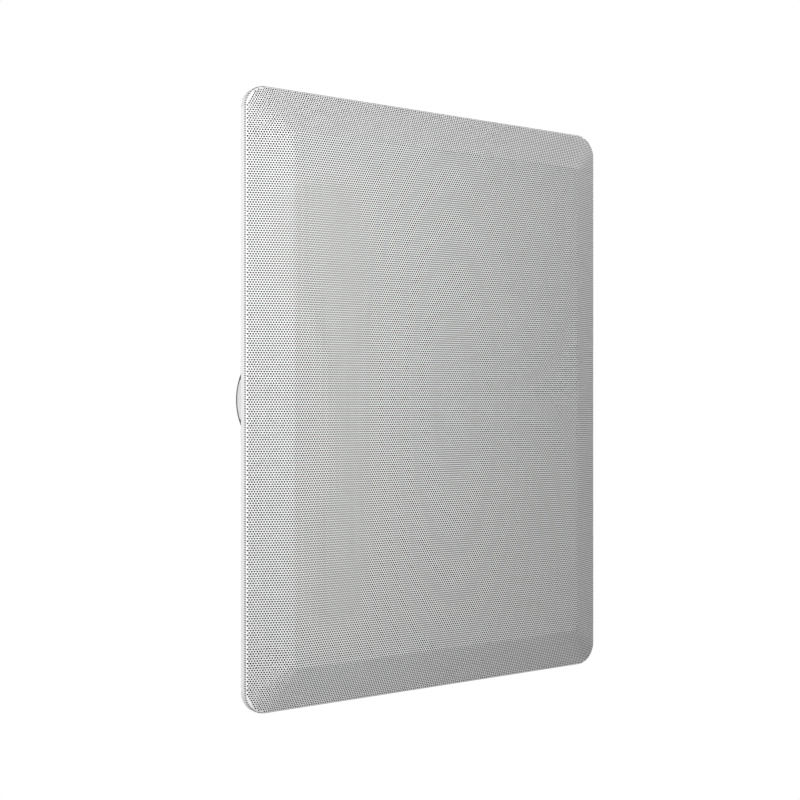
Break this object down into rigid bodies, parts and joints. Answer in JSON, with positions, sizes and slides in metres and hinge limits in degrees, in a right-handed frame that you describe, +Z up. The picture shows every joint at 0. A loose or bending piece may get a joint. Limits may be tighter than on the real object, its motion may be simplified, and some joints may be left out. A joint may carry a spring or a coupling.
{
  "type": "in wall speaker",
  "caption": "Rectangular in-wall speaker: perforated bevelled grille over a flanged frame with woofer, tweeter, crossover, push terminals and swing-out clamp legs.",
  "frame": {"origin": "centre of the wall opening, in the plane of the wall's room face, where the back of the frame's flange lies", "axes": "+Z up, +Y into the wall, so the grille faces -Y; +X to the right as seen from the room"},
  "size_m": [0.218, 0.0979, 0.294],
  "materials": {
    "white_paint": "satin powder coat",
    "scrim_cloth": "woven",
    "black_moulding": "fine spark texture",
    "neodymium": "nickel plated",
    "basket_coat": "satin",
    "foam_seal": "matt",
    "roll_rubber": "satin",
    "cone_sheet": "fine grain",
    "cap_sheet": "satin",
    "foil": "satin",
    "copper": "enamelled wire",
    "spider_cloth": "pressed cloth",
    "zinc_steel": "zinc plated",
    "ferrite": "sintered",
    "fibre_board": "laminate",
    "tinned_brass": "tinned",
    "black_screw": "black oxide",
    "dome_cloth": "coated weave",
    "board_green": "solder mask",
    "bobbin_plastic": "moulded",
    "film_wrap": "wrapped",
    "can_sleeve": "sleeved",
    "ceramic": "cement",
    "red_cap": "moulded",
    "black_cap": "moulded",
    "spring_steel": "bright",
    "wire_cover": "sleeved",
    "white_nylon": "moulded"
  },
  "bodies": {
    "chassis": {"frame": "black_moulding", "grille_magnets": "neodymium", "woofer_basket": "basket_coat", "woofer_gasket": "foam_seal", "woofer_surround": "roll_rubber", "woofer_spider": "spider_cloth", "woofer_top_plate": "zinc_steel", "woofer_magnet": "ferrite", "woofer_yoke": "zinc_steel", "woofer_tag_strip": "fibre_board", "woofer_tags": "tinned_brass", "woofer_screws": "black_screw", "tweeter_faceplate": "black_moulding", "tweeter_dome": "dome_cloth", "tweeter_coil": "copper", "tweeter_pole_plate": "zinc_steel", "tweeter_magnet": "neodymium", "tweeter_pot": "zinc_steel", "tweeter_housing": "black_moulding", "tweeter_tags": "tinned_brass", "tweeter_screws": "black_screw", "crossover_board": "board_green", "board_screws": "zinc_steel", "inductor_bobbin": "bobbin_plastic", "inductor_winding": "copper", "film_capacitor": "film_wrap", "small_capacitor": "can_sleeve", "resistor_block": "ceramic", "terminal_block": "black_moulding", "terminal_screws": "zinc_steel", "wires_input": "wire_cover", "wires_woofer": "wire_cover", "wires_tweeter": "wire_cover", "terminal_spring_red": "spring_steel", "terminal_spring_black": "spring_steel"},
    "grille": {"grille": "white_paint", "grille_scrim": "scrim_cloth"},
    "woofer_moving": {"woofer_cone": "cone_sheet", "woofer_dust_cap": "cap_sheet", "woofer_former": "foil", "woofer_coil": "copper"},
    "button_red": {"terminal_button_red": "red_cap"},
    "button_black": {"terminal_button_black": "black_cap"},
    "clamp_screw_left": {"clamp_screw_left": "zinc_steel"},
    "clamp_leg_left": {"clamp_leg_left": "white_nylon", "clamp_sleeve_left": "tinned_brass", "clamp_pad_left": "foam_seal"},
    "clamp_screw_top": {"clamp_screw_top": "zinc_steel"},
    "clamp_leg_top": {"clamp_leg_top": "white_nylon", "clamp_sleeve_top": "tinned_brass", "clamp_pad_top": "foam_seal"},
    "clamp_screw_right": {"clamp_screw_right": "zinc_steel"},
    "clamp_leg_right": {"clamp_leg_right": "white_nylon", "clamp_sleeve_right": "tinned_brass", "clamp_pad_right": "foam_seal"},
    "clamp_screw_bottom": {"clamp_screw_bottom": "zinc_steel"},
    "clamp_leg_bottom": {"clamp_leg_bottom": "white_nylon", "clamp_sleeve_bottom": "tinned_brass", "clamp_pad_bottom": "foam_seal"}
  },
  "joints": [
    {"name": "grille_pull_off", "type": "slide", "parent": "chassis", "child": "grille", "axis": [0, -1, 0], "range_m": [0, 0.06]},
    {"name": "cone_travel", "type": "slide", "parent": "chassis", "child": "woofer_moving", "axis": [0, -1, 0], "range_m": [-0.005, 0.005], "stiffness_N_per_m": 1200, "deforming": ["woofer_surround", "woofer_spider"]},
    {"name": "button_press_red", "type": "slide", "parent": "chassis", "child": "button_red", "axis": [0, -1, 0], "range_m": [0, 0.003], "stiffness_N_per_m": 400, "deforming": ["terminal_spring_red"]},
    {"name": "button_press_black", "type": "slide", "parent": "chassis", "child": "button_black", "axis": [0, -1, 0], "range_m": [0, 0.003], "stiffness_N_per_m": 400, "deforming": ["terminal_spring_black"]},
    {"name": "clamp_swing_left", "type": "hinge", "parent": "chassis", "child": "clamp_screw_left", "pos_m": [-0.0803, 0, 0], "axis": [0, -1, 0], "range_deg": [0, 90]},
    {"name": "clamp_draw_left", "type": "slide", "parent": "clamp_screw_left", "child": "clamp_leg_left", "axis": [0, -1, 0], "range_m": [0, 0.016]},
    {"name": "clamp_swing_top", "type": "hinge", "parent": "chassis", "child": "clamp_screw_top", "pos_m": [0, 0, 0.1183], "axis": [0, -1, 0], "range_deg": [0, 90]},
    {"name": "clamp_draw_top", "type": "slide", "parent": "clamp_screw_top", "child": "clamp_leg_top", "axis": [0, -1, 0], "range_m": [0, 0.016]},
    {"name": "clamp_swing_right", "type": "hinge", "parent": "chassis", "child": "clamp_screw_right", "pos_m": [0.0803, 0, 0], "axis": [0, -1, 0], "range_deg": [0, 90]},
    {"name": "clamp_draw_right", "type": "slide", "parent": "clamp_screw_right", "child": "clamp_leg_right", "axis": [0, -1, 0], "range_m": [0, 0.016]},
    {"name": "clamp_swing_bottom", "type": "hinge", "parent": "chassis", "child": "clamp_screw_bottom", "pos_m": [0, 0, -0.1183], "axis": [0, -1, 0], "range_deg": [0, 90]},
    {"name": "clamp_draw_bottom", "type": "slide", "parent": "clamp_screw_bottom", "child": "clamp_leg_bottom", "axis": [0, -1, 0], "range_m": [0, 0.016]}
  ]
}
